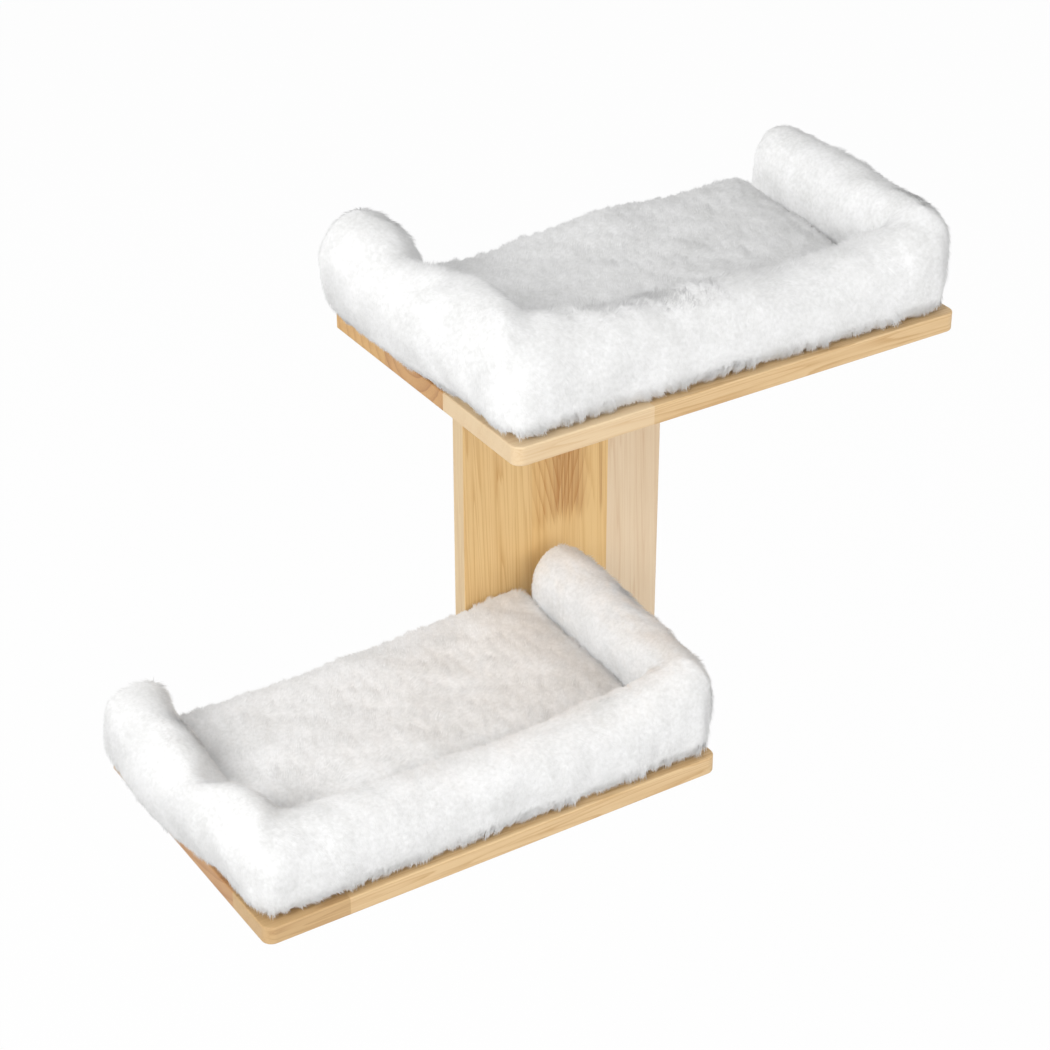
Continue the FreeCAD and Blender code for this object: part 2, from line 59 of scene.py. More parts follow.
# Wooden panels: the upright back board and the two shelves, of edge-glued rubberwood staves 18 mm thick.
# The staves are glued side by side and sanded, with eased arrises and a finish of satin clear lacquer.
# Each stave has its own tones and growth rings, and a dark figure stains the board's middle stave.
# The lower shelf's staves are darker than the upper shelf's: partly their own tones, partly painted shade
# for the light that the upper shelf and bed keep off it.
class Wire:
    """A shader socket that can stand in Python sums: each operator adds one Math node to its material."""

    def __init__(self, tree, socket):
        self.tree = tree
        self.socket = socket

    def node(self, kind, settings, sockets, output=0):
        """A node of any kind: its settings first, then the values or wires of its sockets."""
        made = self.tree.nodes.new("ShaderNode" + kind)
        for name, value in settings.items():
            if name == "stops":
                while len(made.color_ramp.elements) < len(value):
                    made.color_ramp.elements.new(1.0)
                for element, (position, colour) in zip(made.color_ramp.elements, value):
                    element.position = position
                    element.color = colour
            else:
                setattr(made, name, value)
        for name, value in sockets.items():
            if isinstance(value, Wire):
                self.tree.links.new(value.socket, made.inputs[name])
            else:
                made.inputs[name].default_value = value
        return Wire(self.tree, made.outputs[output])

    def feed(self, socket):
        """Links this wire to a shader's socket."""
        self.tree.links.new(self.socket, socket)

    def math(self, operation, *values):
        """A Math node over numbers and wires."""
        return self.node("Math", {"operation": operation}, dict(enumerate(values)))

    def __add__(self, other):
        return self.math("ADD", self, other)

    def __radd__(self, other):
        return self.math("ADD", other, self)

    def __sub__(self, other):
        return self.math("SUBTRACT", self, other)

    def __rsub__(self, other):
        return self.math("SUBTRACT", other, self)

    def __mul__(self, other):
        return self.math("MULTIPLY", self, other)

    def __rmul__(self, other):
        return self.math("MULTIPLY", other, self)

    def __truediv__(self, other):
        return self.math("DIVIDE", self, other)

    def __pow__(self, other):
        return self.math("POWER", self, other)

    def __abs__(self):
        return self.math("ABSOLUTE", self)

    def saw(self):
        """Climbs from 0 to 1 over each unit and drops back."""
        return self.math("FRACT", self)

    def above(self, low, high):
        """0 below low, 1 above high and a soft step between them."""
        sockets = {"Value": self, "From Min": low, "From Max": high}
        return self.node("MapRange", {"interpolation_type": "SMOOTHSTEP"}, sockets)

    def noise(self, scale, detail=2.0, roughness=0.5):
        """Cloudy values about 0.5 at the place that this wire carries."""
        sockets = {"Vector": self, "Scale": scale, "Detail": detail, "Roughness": roughness}
        return self.node("TexNoise", {}, sockets)

    def ramp(self, *stops):
        """A colour that follows this wire through stops, each a position and a colour."""
        return self.node("ValToRGB", {"stops": stops}, {0: self})

    def mixed(self, other, share):
        """This colour with a share of another one, at least none and at most all of it."""
        return self.node("Mix", {"data_type": "RGBA"}, {0: share, 6: self, 7: other}, 2)

    def bump(self, strength, distance):
        """A normal from this wire as a height."""
        return self.node("Bump", {}, {"Height": self, "Strength": strength, "Distance": distance})


def paint(red, green, blue):
    """Linear colour from screen values of 0 to 255."""
    screen = [value / 255 for value in (red, green, blue)]
    return (*[s / 12.92 if s <= 0.04045 else ((s + 0.055) / 1.055) ** 2.4 for s in screen], 1.0)


def start_material(name):
    """A new material, its shader, and a wire that carries the place on the piece in metres."""
    material = bpy.data.materials.new(name)
    material.use_nodes = True
    tree = material.node_tree
    coordinates = tree.nodes.new("ShaderNodeTexCoord")
    return material, tree.nodes["Principled BSDF"], Wire(tree, coordinates.outputs["Object"])


def dress(names, material):
    """Gives CAD nodes a material in place of their own."""
    for name in names:
        mesh = nodes[name].data
        mesh.materials.clear()
        mesh.materials.append(material)


GLUE_LINE = 0.0002
GROWTH_LINES = 17.0
LINE_SHARPNESS = 3.0
END_GRAIN_FADE = 0.7
STAIN_FOOT = (-0.006, 0.016)
STAIN_CORE = 0.35


def stave_wood(name, along, across, through, staves, stains=()):
    """Edge-glued wood. Each stave begins at an edge across the panel, and some at a butt joint along it.
    It has a pale tone, a darker one for its pores and growth lines, and the heart of the log that its rings
    curve round. A stain is a dark figure with a ragged foot that flames upwards along the grain."""
    material, shader, place = start_material(name)
    axes = {}
    for output, axis in enumerate("XYZ"):
        axes[axis] = place.node("SeparateXYZ", {}, {0: place}, output)
    length = axes[along]
    width = axes[across]
    depth = axes[through]

    def stretched(along_scale, cross_scale, slant):
        """The place scaled along and across a grain that runs at a slant."""
        sideways = (width + length * slant) * cross_scale
        return place.node("CombineXYZ", {}, {0: length * along_scale, 1: sideways, 2: depth * cross_scale})

    facing = place.node("NewGeometry", {}, {}, 1)
    end_face = abs(facing.node("SeparateXYZ", {}, {0: facing}, "XYZ".index(along))).above(0.5, 0.9)
    fibre = stretched(25.0, 900.0, 0.0).noise(1.0, 2.0, 0.6)
    pores = stretched(3.0, 420.0, 0.03).noise(1.0, 3.0, 0.6)
    bands = stretched(0.9, 38.0, 0.03).noise(1.0, 2.0)
    growth = (bands * GROWTH_LINES + pores * 0.5).saw()
    lengthwise = 1.0 - end_face * END_GRAIN_FADE
    streaks = growth ** LINE_SHARPNESS * (1.0 - growth.above(0.93, 1.0)) * lengthwise
    grain = streaks + pores.above(0.5, 0.75) * 0.5 * lengthwise
    colour = None
    for stave in staves:
        off_heart = width - stave["heart"][0] + (bands - 0.5) * 0.012
        below_heart = depth - stave["heart"][1] + length * stave["drift"]
        ring = (((off_heart ** 2.0 + below_heart ** 2.0) ** 0.5) / stave["ring"]).saw()
        summer = ring ** LINE_SHARPNESS * (1.0 - ring.above(0.92, 1.0))
        share = grain * stave["lines"] + summer * stave["rings"] + (bands - 0.5) * 0.8 + (fibre - 0.5) * 0.5
        toned = share.ramp((0.0, paint(*stave["tone"])), (1.0, paint(*stave["dark"])))
        if colour is None:
            colour = toned
            continue
        inside = width.above(stave["edge"] - GLUE_LINE, stave["edge"] + GLUE_LINE)
        if "joint" in stave:
            inside = inside * length.above(stave["joint"] - GLUE_LINE, stave["joint"] + GLUE_LINE)
        colour = colour.mixed(toned, inside)
    for stain in stains:
        risen = length - stain["foot"]
        fingers = (risen + (pores - 0.5) * stain["ragged"]).above(*STAIN_FOOT)
        aside = abs(width - stain["middle"] + risen * stain["slant"] + (bands - 0.5) * 0.01)
        core = 1.0 - aside.above(stain["half"] * STAIN_CORE, stain["half"])
        flame = (aside / stain["ring"] - risen * stain["rise"]).saw()
        flare = flame ** LINE_SHARPNESS * stain["flame"]
        share = fingers * core * (stain["depth"] + flare + streaks * 0.25)
        colour = colour.mixed(paint(*stain["tone"]), share)
    colour.feed(shader.inputs["Base Color"])
    (0.46 + fibre * 0.16).feed(shader.inputs["Roughness"])
    (fibre - streaks * 0.4).bump(0.06, 0.0003).feed(shader.inputs["Normal"])
    shader.inputs["Coat Weight"].default_value = 0.1
    shader.inputs["Coat Roughness"].default_value = 0.4
    return material


straight = {"heart": (0.35, 0.5), "drift": 0.01, "ring": 0.011, "rings": 0.12}
curved = {"heart": (-0.13, 0.265), "drift": 0.02, "ring": 0.013, "rings": 0.7}
honey = {"tone": (226, 192, 135), "dark": (194, 146, 82), "lines": 0.65, **straight}
golden = {"tone": (228, 192, 132), "dark": (200, 152, 84), "lines": 0.5, **straight}
pale = {"tone": (228, 206, 175), "dark": (206, 171, 131), "lines": 0.4, **straight}
cream = {"tone": (229, 203, 164), "dark": (204, 164, 115), "lines": 0.4, **straight}
wheat = {"tone": (224, 192, 145), "dark": (192, 150, 96), "lines": 0.7, **straight}
# The tan stave serves the lower shelf only; its darker tone is partly painted shade.
tan = {"tone": (206, 171, 122), "dark": (174, 132, 84), "lines": 0.7, **straight}
amber = {"tone": (215, 172, 112), "dark": (184, 132, 76), "lines": 0.6, **curved}
russet = {"tone": (206, 160, 106), "dark": (164, 108, 60), "lines": 0.4, **curved}
board_wood = stave_wood("board_wood", "Z", "X", "Y", [
    {**cream, "tone": (228, 202, 160)},
    {**honey, "edge": -0.1136},
    {**golden, "edge": -0.0365},
    {**pale, "edge": 0.0515},
], [
    {"tone": (186, 133, 68), "middle": -0.004, "half": 0.042, "foot": -0.036, "ragged": 0.05, "slant": 0.03,
     "ring": 0.0075, "rise": 28.0, "depth": 0.22, "flame": 0.6},
    {"tone": (166, 110, 52), "middle": 0.003, "half": 0.027, "foot": -0.030, "ragged": 0.09, "slant": 0.02,
     "ring": 0.0045, "rise": 6.0, "depth": 0.25, "flame": 0.5},
    {"tone": (166, 113, 54), "middle": 0.0445, "half": 0.003, "foot": -0.038, "ragged": 0.02, "slant": 0.03,
     "ring": 0.004, "rise": 0.0, "depth": 0.35, "flame": 0.3},
])
upper_wood = stave_wood("upper_shelf_wood", "X", "Y", "Z", [
    {**cream},
    {**wheat, "edge": -0.301, "joint": -0.0955},
    {**russet, "edge": -0.184},
    {**amber, "edge": -0.086},
])
# Painted shade: the lower shelf's tan stave and its darkened russet and amber staves stand for the shade
# under the upper shelf and bed, on top of the wood's own tones.
lower_wood_with_painted_shade = stave_wood("lower_shelf_wood", "X", "Y", "Z", [
    {**tan},
    {**wheat, "edge": -0.319, "joint": -0.412},
    {**russet, "tone": (198, 152, 104), "edge": -0.257},
    {**amber, "tone": (204, 161, 108), "edge": -0.150},
])
dress(["back_board"], board_wood)
dress(["upper_shelf"], upper_wood)
dress(["lower_shelf"], lower_wood_with_painted_shade)


# Dowels: beech pegs, glued half into a panel's face and half into the end of the panel that meets it.
# They are raw wood, out of sight once the perch is put together.
dowel_wood, dowel_shader, dowel_place = start_material("dowel_beech")
dowel_grain = dowel_place.noise(260.0, 3.0)
dowel_tone = dowel_grain.ramp((0.3, paint(214, 178, 132)), (0.7, paint(196, 154, 104)))
dowel_tone.feed(dowel_shader.inputs["Base Color"])
(0.6 + dowel_grain * 0.2).feed(dowel_shader.inputs["Roughness"])
dress(["upper_dowels", "lower_dowels"], dowel_wood)


# Fasteners: connector screws through the panels, and pressed steel corner brackets with their wood screws.
# All are zinc plated, slightly clouded, and a little worn where a driver or a bend has touched them.
zinc, zinc_shader, zinc_place = start_material("zinc_plate")
zinc_cloud = zinc_place.noise(90.0, 4.0, 0.6)
zinc_scratch = zinc_place.noise(1400.0, 2.0)
zinc_tone = zinc_cloud.ramp((0.3, paint(176, 178, 182)), (0.7, paint(206, 207, 208)))
zinc_tone.feed(zinc_shader.inputs["Base Color"])
(0.26 + zinc_cloud * 0.2 + zinc_scratch * 0.06).feed(zinc_shader.inputs["Roughness"])
zinc_scratch.bump(0.08, 0.0002).feed(zinc_shader.inputs["Normal"])
zinc_shader.inputs["Metallic"].default_value = 1.0
dress([name for name in nodes if "bracket" in name or "connector" in name], zinc)


# Hook-and-loop tape: hook strips are glued on the shelves, loop strips are sewn under the beds.
# Woven white nylon tape, one face covered in short hooks or loops between plain selvedges.
tape, tape_shader, tape_place = start_material("tape_nylon")
tape_dots = tape_place.node("TexVoronoi", {}, {"Vector": tape_place, "Scale": 900.0})
tape_fuzz = tape_place.noise(1500.0, 2.0)
tape_tone = tape_dots.ramp((0.1, paint(236, 235, 231)), (0.8, paint(205, 204, 199)))
tape_tone.feed(tape_shader.inputs["Base Color"])
(0.75 + tape_fuzz * 0.2).feed(tape_shader.inputs["Roughness"])
(tape_fuzz - tape_dots).bump(0.6, 0.0006).feed(tape_shader.inputs["Normal"])
dress([name for name in nodes if name.endswith("_strips")], tape)


# Base cloths: the woven white cloth under each bed that its stuffed pieces and loop strips are sewn to.
# Cut with rounded front corners, its edge turned under and stitched down in a narrow hem.
cloth, cloth_shader, cloth_place = start_material("base_weave")
threads = {"Vector": cloth_place, "Scale": 320.0}
warp = cloth_place.node("TexWave", {"bands_direction": "X"}, threads)
weft = cloth_place.node("TexWave", {"bands_direction": "Y"}, threads)
weave = warp * weft
cloth_tone = weave.ramp((0.0, paint(214, 212, 206)), (1.0, paint(240, 239, 235)))
cloth_tone.feed(cloth_shader.inputs["Base Color"])
(0.8 + weave * 0.15).feed(cloth_shader.inputs["Roughness"])
weave.bump(0.4, 0.0004).feed(cloth_shader.inputs["Normal"])

LEVELS = ("upper", "lower")
CLOTH_CORNER = 0.014
CORNER_STEPS = 8
HEM_WIDTH = 0.008
HEM_RISE = 0.0003
CLOTH_INSET = 0.006


def finish_modifier(piece, kind, **settings):
    """Adds a modifier to a piece and applies it."""
    bpy.context.view_layer.objects.active = piece
    modifier = piece.modifiers.new(kind.lower(), kind)
    for name, value in settings.items():
        setattr(modifier, name, value)
    bpy.ops.object.modifier_apply(modifier=modifier.name)


for level in LEVELS:
    low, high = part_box(level + "_base_cloth")
    low = low + Vector((CLOTH_INSET, CLOTH_INSET, 0))
    high = high - Vector((CLOTH_INSET, 0, 0))
    middle = (low + high) / 2
    bpy.ops.object.select_all(action="DESELECT")
    bpy.ops.mesh.primitive_plane_add(size=1.0, location=(middle.x, middle.y, low.z + HEM_RISE))
    sheet = bpy.context.object
    sheet.name = level + "_base_sheet"
    sheet.scale = (high.x - low.x, high.y - low.y, 1.0)
    bpy.ops.object.transform_apply(location=True, rotation=True, scale=True)
    for vertex in sheet.data.vertices:
        vertex.select = vertex.co.y < middle.y
    bpy.ops.object.mode_set(mode="EDIT")
    bpy.ops.mesh.select_mode(type="VERT")
    bpy.ops.mesh.bevel(offset=CLOTH_CORNER, offset_pct=0, segments=CORNER_STEPS, affect="VERTICES")
    bpy.ops.mesh.select_all(action="SELECT")
    bpy.ops.mesh.inset(thickness=HEM_WIDTH)
    bpy.ops.transform.translate(value=(0, 0, HEM_RISE))
    bpy.ops.object.mode_set(mode="OBJECT")
    finish_modifier(sheet, "SOLIDIFY", thickness=high.z - low.z - 2 * HEM_RISE, offset=1.0)
    sheet.data.materials.append(cloth)
    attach(sheet, level + "_bed")
    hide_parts(level + "_base_cloth")


# Bed covers: the fur fabric sewn round each bed's three bolsters, and round its mattress.
# Loosely stuffed, so they swell between the seams, sink where a cat lies and lean out over the shelf's end.
fur, fur_shader, fur_place = start_material("white_fur")
fur_mottle = fur_place.noise(28.0, 3.0)
fur_curl = fur_place.noise(260.0, 3.0, 0.6)
fur_cloud = fur_mottle * 0.4 + fur_curl * 0.6
fur_tone = fur_cloud.ramp((0.35, paint(228, 228, 227)), (0.62, paint(246, 246, 246)))
fur_tone.feed(fur_shader.inputs["Base Color"])
(0.85 + fur_mottle * 0.1).feed(fur_shader.inputs["Roughness"])
fur_shader.inputs["Specular IOR Level"].default_value = 0.0

VOXEL = 0.005
WELD = 0.0001
PILE_ROOM = 0.0045
SEAM_HEIGHT = 0.002
FOOT_RISE = 0.028
RELAX = {"factor": 0.5, "iterations": 8, "vertex_group": "loose"}
SWELL_STEPS = 20
SWELL_CAP = 0.006
FOOT_HEIGHT = 0.012
LUMP_SIZE = 0.05
LUMP_HEIGHT = 0.006


def vertex_places(mesh):
    """The places of a mesh's vertices, one row each."""
    places = np.empty(len(mesh.vertices) * 3)
    mesh.vertices.foreach_get("co", places)
    return places.reshape(-1, 3)


def copied_skin(name, node_names):
    """A closed skin round copies of stuffed solids, drawn in above its sewn foot to leave room for pile."""
    copies = []
    for node_name in node_names:
        copy = bpy.data.objects.new(node_name + "_copy", nodes[node_name].data.copy())
        bpy.context.scene.collection.objects.link(copy)
        copies.append(copy)
    bpy.ops.object.select_all(action="DESELECT")
    for copy in copies:
        copy.select_set(True)
    bpy.context.view_layer.objects.active = copies[0]
    if len(copies) > 1:
        bpy.ops.object.join()
    skin = copies[0]
    skin.name = name
    bpy.ops.object.mode_set(mode="EDIT")
    bpy.ops.mesh.select_all(action="SELECT")
    bpy.ops.mesh.remove_doubles(threshold=WELD)
    bpy.ops.object.mode_set(mode="OBJECT")
    finish_modifier(skin, "REMESH", mode="VOXEL", voxel_size=VOXEL, use_smooth_shade=True)
    foot = min(vertex.co.z for vertex in skin.data.vertices)
    loose = skin.vertex_groups.new(name="loose")
    sewn = skin.vertex_groups.new(name="sewn")
    for vertex in skin.data.vertices:
        share = min(1.0, max(0.0, (vertex.co.z - foot - SEAM_HEIGHT) / FOOT_RISE))
        loose.add([vertex.index], share, "REPLACE")
        sewn.add([vertex.index], 1.0 - share, "REPLACE")
    finish_modifier(skin, "SMOOTH", **RELAX)
    finish_modifier(skin, "DISPLACE", strength=-PILE_ROOM, mid_level=0.0, vertex_group="loose")
    return skin


def swell(skin):
    """Blows the skin up like a stuffed cover, each point by no more than the cap."""
    start = vertex_places(skin.data)
    bpy.context.view_layer.objects.active = skin
    stuffing = skin.modifiers.new("stuffing", "CLOTH")
    stuffing.settings.quality = 5
    stuffing.settings.mass = 0.3
    stuffing.settings.vertex_group_mass = "sewn"
    stuffing.settings.use_pressure = True
    stuffing.settings.uniform_pressure_force = 4.0
    stuffing.settings.effector_weights.gravity = 0.0
    for step in range(1, SWELL_STEPS + 1):
        bpy.context.scene.frame_set(step)
    bpy.ops.object.modifier_apply(modifier=stuffing.name)
    bpy.context.scene.frame_set(1)
    moved = vertex_places(skin.data) - start
    reach = np.linalg.norm(moved, axis=1, keepdims=True)
    kept = start + moved * np.minimum(1.0, SWELL_CAP / np.maximum(reach, 1e-9))
    skin.data.vertices.foreach_set("co", kept.ravel())
    skin.data.update()


def press(skin, presses):
    """Shaping of a cover. Each press is a place, a move and how far round the place it is felt, ever
    less with distance. The foot stays at its height."""
    places = vertex_places(skin.data)
    free = np.ones_like(places)
    free[:, 2] = np.clip((places[:, 2] - places[:, 2].min()) / FOOT_HEIGHT, 0, 1)
    for place, move, reach in presses:
        away = np.linalg.norm(places - np.array(place), axis=1, keepdims=True)
        places = places + free * np.array(move) * np.exp(-((away / reach) ** 2))
    skin.data.vertices.foreach_set("co", places.ravel())
    skin.data.update()


PRESSES = {
    "upper_bolster_cover": [
        ((-0.252, -0.045, 0.335), (-0.007, 0.0, 0.006), 0.045),
        ((-0.224, -0.032, 0.350), (0.005, 0.0, 0.007), 0.04),
        ((-0.200, -0.060, 0.325), (0.006, 0.0, 0.001), 0.035),
        ((-0.192, -0.112, 0.330), (-0.006, 0.0, -0.017), 0.026),
        ((-0.195, -0.175, 0.328), (0.011, 0.0, 0.006), 0.042),
        ((-0.195, -0.232, 0.325), (0.010, 0.006, 0.008), 0.04),
        ((-0.130, -0.248, 0.325), (0.0, 0.005, 0.014), 0.075),
        ((0.000, -0.250, 0.322), (0.0, 0.003, 0.010), 0.075),
        ((0.228, -0.150, 0.335), (0.0, 0.0, 0.006), 0.05),
        ((0.222, -0.258, 0.330), (-0.002, -0.002, 0.013), 0.06),
        ((0.245, -0.280, 0.275), (-0.006, 0.0, 0.0), 0.04),
        ((-0.230, -0.286, 0.258), (-0.001, -0.001, 0.0), 0.03),
        ((-0.235, -0.225, 0.258), (0.004, 0.0, 0.0), 0.04),
    ],
    "lower_bolster_cover": [
        ((-0.484, -0.040, -0.030), (0.0, 0.0, -0.009), 0.035),
        ((-0.455, -0.038, -0.048), (0.008, 0.004, 0.009), 0.026),
        ((-0.505, -0.042, -0.058), (0.001, 0.003, 0.006), 0.026),
        ((-0.458, -0.182, -0.045), (-0.007, 0.0, -0.015), 0.026),
        ((-0.455, -0.240, -0.048), (0.006, 0.0, 0.006), 0.035),
        ((-0.507, -0.140, -0.095), (-0.005, 0.0, -0.006), 0.06),
        ((-0.038, -0.276, -0.050), (0.0, -0.002, 0.010), 0.055),
        ((-0.490, -0.304, -0.117), (0.001, 0.002, 0.0), 0.03),
        ((-0.495, -0.243, -0.117), (0.004, 0.0, 0.0), 0.04),
    ],
    "upper_mattress_cover": [
        ((0.192, -0.020, 0.278), (0.008, 0.002, 0.004), 0.05),
        ((0.190, -0.120, 0.280), (0.004, 0.0, 0.004), 0.06),
        ((-0.090, -0.040, 0.285), (0.0, 0.0, -0.006), 0.06),
        ((0.035, -0.025, 0.285), (0.0, 0.0, 0.006), 0.05),
        ((-0.060, -0.235, 0.285), (0.0, -0.002, 0.006), 0.06),
        ((0.050, -0.235, 0.285), (0.0, -0.002, 0.007), 0.06),
    ],
    "lower_mattress_cover": [
        ((-0.068, -0.035, -0.098), (0.008, 0.003, 0.010), 0.055),
        ((-0.068, -0.140, -0.095), (0.005, 0.0, 0.007), 0.06),
        ((-0.330, -0.060, -0.090), (0.0, 0.0, -0.005), 0.06),
        ((-0.080, -0.215, -0.095), (0.006, -0.002, 0.006), 0.05),
        ((-0.180, -0.235, -0.095), (0.0, -0.002, 0.007), 0.06),
        ((-0.290, -0.240, -0.095), (0.0, -0.002, 0.007), 0.06),
    ],
}

lumps = bpy.data.textures.new("stuffing_lumps", "CLOUDS")
lumps.noise_scale = LUMP_SIZE
lumps.noise_depth = 2

skins = {}
for level in LEVELS:
    rolls = [level + "_bolster_" + side for side in ("left", "front", "right")]
    covers = {level + "_bolster_cover": rolls, level + "_mattress_cover": [level + "_mattress"]}
    for name, node_names in covers.items():
        skin = copied_skin(name, node_names)
        swell(skin)
        finish_modifier(skin, "SMOOTH", **RELAX)
        press(skin, PRESSES[name])
        finish_modifier(skin, "SUBSURF", levels=1, render_levels=1)
        finish_modifier(skin, "DISPLACE", texture=lumps, strength=LUMP_HEIGHT, mid_level=0.5,
                        vertex_group="loose")
        skin.data.materials.clear()
        skin.data.materials.append(fur)
        skin.data.shade_smooth()
        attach(skin, level + "_bed")
        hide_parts(*node_names)
        skins[name] = skin


# Fur pile: the locks of the white faux fur, each a slim closed spike rooted in a cover.
# They are brushed down both sides of the bolsters, lie in soft swirls on top and hang ragged along the hem.
# Their normals follow the cover, so that the pile is lit as one soft surface.
PILE_LENGTH = 0.0105
PILE_WIDTH = 0.0010
PILE_LEAN = math.radians(18)
PILE_COMB = (0.0, -0.3, -1.0)
PILE_DENSITY = 620000
PILE_RAGGED = 0.2
STEEPEST = math.radians(75)
COMB_STRAY = 0.12
LEAN_STRAY = 0.2
MEAN_SHARE = 0.85
UNDERSIDE_SHARE = 0.4
WIDTH_SPREAD = (0.7, 1.3)
ROOT_DEPTH = 0.0008
SPIKE_THICKNESS = 0.4
NAP_LENGTH = 0.0065
NAP_LEAN = math.radians(24)
NAP_COMB = (0.8, 0.8, -0.6)
HEM_LENGTH = 0.012
HEM_DENSITY = 1.2 * PILE_DENSITY
HEM_RAGGED = 0.27
CREST_LENGTH = 0.009
CREST_LEAN = 3 * PILE_LEAN
CREST_DENSITY = PILE_DENSITY / 2
CREST_RAGGED = 0.4
SWIRL_WAVES = 6
SWIRL_SPAN = 2.6
FLOW_SCALE = 55
FLOW_SHARES = (0.6, 0.6, 0.3)
LOCK_SCALE = 260
LOCK_STRETCH = (1, 1, 0.3)
LOCK_SEED = 4
LOCK_LEAN = 0.25
LOCK_TURN = 0.14
TIP_TURN = 0.10
SIDE_TURN = 0.3
WALL_TURN = np.array([0.0, -0.8, 0.7])
WALL_GAP = 0.0015
SHELF_GAP = (0.0002, 0.0015)
ROLL_END = 0.06
HEM_DEPTH = 0.02
HEM_HEIGHT = 0.014
CREST_HEIGHT = 0.055
CLOTH_GAP = 0.002
rng = np.random.default_rng(20)


def swirl(places, scale, seed):
    """Smooth wandering values, mostly from -1 to 1, over space."""
    waves = np.random.default_rng(seed)
    total = np.zeros(len(places))
    for _ in range(SWIRL_WAVES):
        direction = waves.normal(size=3)
        total += np.sin(places @ direction * scale + waves.uniform(0, 2 * math.pi))
    return total[:, None] / SWIRL_SPAN


def pile(name, skin, level, density, chosen, length=PILE_LENGTH, lean=PILE_LEAN, ragged=PILE_RAGGED,
         comb=PILE_COMB, trim=None, shadows=False):
    """Spikes scattered over the chosen faces of a skin, none reaching into the shelf or past its back."""
    shelf_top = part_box(level + "_shelf")[1].z
    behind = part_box(level + "_shelf")[1].y - WALL_GAP
    mesh = skin.data
    mesh.calc_loop_triangles()
    corners = np.array([triangle.vertices[:] for triangle in mesh.loop_triangles])
    places = vertex_places(mesh)
    smooth = np.array([vertex.normal[:] for vertex in mesh.vertices])
    a, b, c = (places[corners[:, k]] for k in range(3))
    area = np.linalg.norm(np.cross(b - a, c - a), axis=1) / 2
    weight = area * chosen((a + b + c) / 3, smooth[corners].mean(axis=1))
    count = int(density * weight.sum())
    faces = rng.choice(len(area), size=count, p=weight / weight.sum())
    s, t = rng.random((2, count, 1))
    s, t = np.where(s + t > 1, 1 - s, s), np.where(s + t > 1, 1 - t, t)
    root = a[faces] + s * (b - a)[faces] + t * (c - a)[faces]
    normal_a, normal_b, normal_c = (smooth[corners[faces, k]] for k in range(3))
    up = (1 - s - t) * normal_a + s * normal_b + t * normal_c
    up /= np.linalg.norm(up, axis=1, keepdims=True)
    flow = np.hstack([share * swirl(root, FLOW_SCALE, seed) for seed, share in enumerate(FLOW_SHARES, 1)])
    flow += np.array(comb) + rng.normal(scale=COMB_STRAY, size=flow.shape)
    flow -= (flow * up).sum(1, keepdims=True) * up
    flow /= np.maximum(np.linalg.norm(flow, axis=1, keepdims=True), 1e-6)
    side = np.cross(flow, up)
    locks = swirl(root * LOCK_STRETCH, LOCK_SCALE, LOCK_SEED)
    lift = 1 + LOCK_LEAN * locks + rng.normal(scale=LEAN_STRAY, size=(count, 1))
    angle = np.minimum(STEEPEST, lean * lift)
    long = length * (MEAN_SHARE + ragged * locks + rng.uniform(-ragged, ragged, (count, 1)))
    long *= np.interp(up[:, 2:], (-0.8, 0.0), (UNDERSIDE_SHARE, 1.0))
    if trim:
        long *= trim(root, up)
    wide = PILE_WIDTH * rng.uniform(*WIDTH_SPREAD, (count, 1))
    tip = root + long * (np.cos(angle) * flow + np.sin(angle) * up)
    tip[:, 2] = np.maximum(tip[:, 2], shelf_top + rng.uniform(*SHELF_GAP, count))
    tip[:, 1] = np.minimum(tip[:, 1], behind)
    base = root - ROOT_DEPTH * up
    back = base + up * wide * SPIKE_THICKNESS
    points = np.stack([base + side * wide / 2, base - side * wide / 2, back, tip], axis=1)
    tilt = TIP_TURN + LOCK_TURN * locks
    lit = up + np.maximum(up[:, 1:2], 0) * WALL_TURN
    turn = SIDE_TURN * side
    shade = np.stack([lit + turn, lit - turn, lit - tilt * flow, lit + tilt * flow], axis=1)
    shade /= np.linalg.norm(shade, axis=2, keepdims=True)
    first = 4 * np.arange(count)[:, None, None]
    triangles = (first + np.array([[0, 3, 2], [2, 3, 1], [1, 3, 0], [0, 2, 1]])).reshape(-1, 3)
    spikes = bpy.data.meshes.new(name)
    spikes.vertices.add(4 * count)
    spikes.vertices.foreach_set("co", points.ravel())
    spikes.loops.add(triangles.size)
    spikes.loops.foreach_set("vertex_index", triangles.ravel())
    spikes.polygons.add(len(triangles))
    spikes.polygons.foreach_set("loop_start", 3 * np.arange(len(triangles)))
    spikes.update(calc_edges=True)
    spikes.shade_smooth()
    spikes.normals_split_custom_set_from_vertices(shade.reshape(-1, 3))
    spikes.materials.append(fur)
    piece = bpy.data.objects.new(name, spikes)
    piece.visible_shadow = shadows
    piece.shadow_terminator_geometry_offset = 0.0
    bpy.context.scene.collection.objects.link(piece)
    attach(piece, level + "_bed")


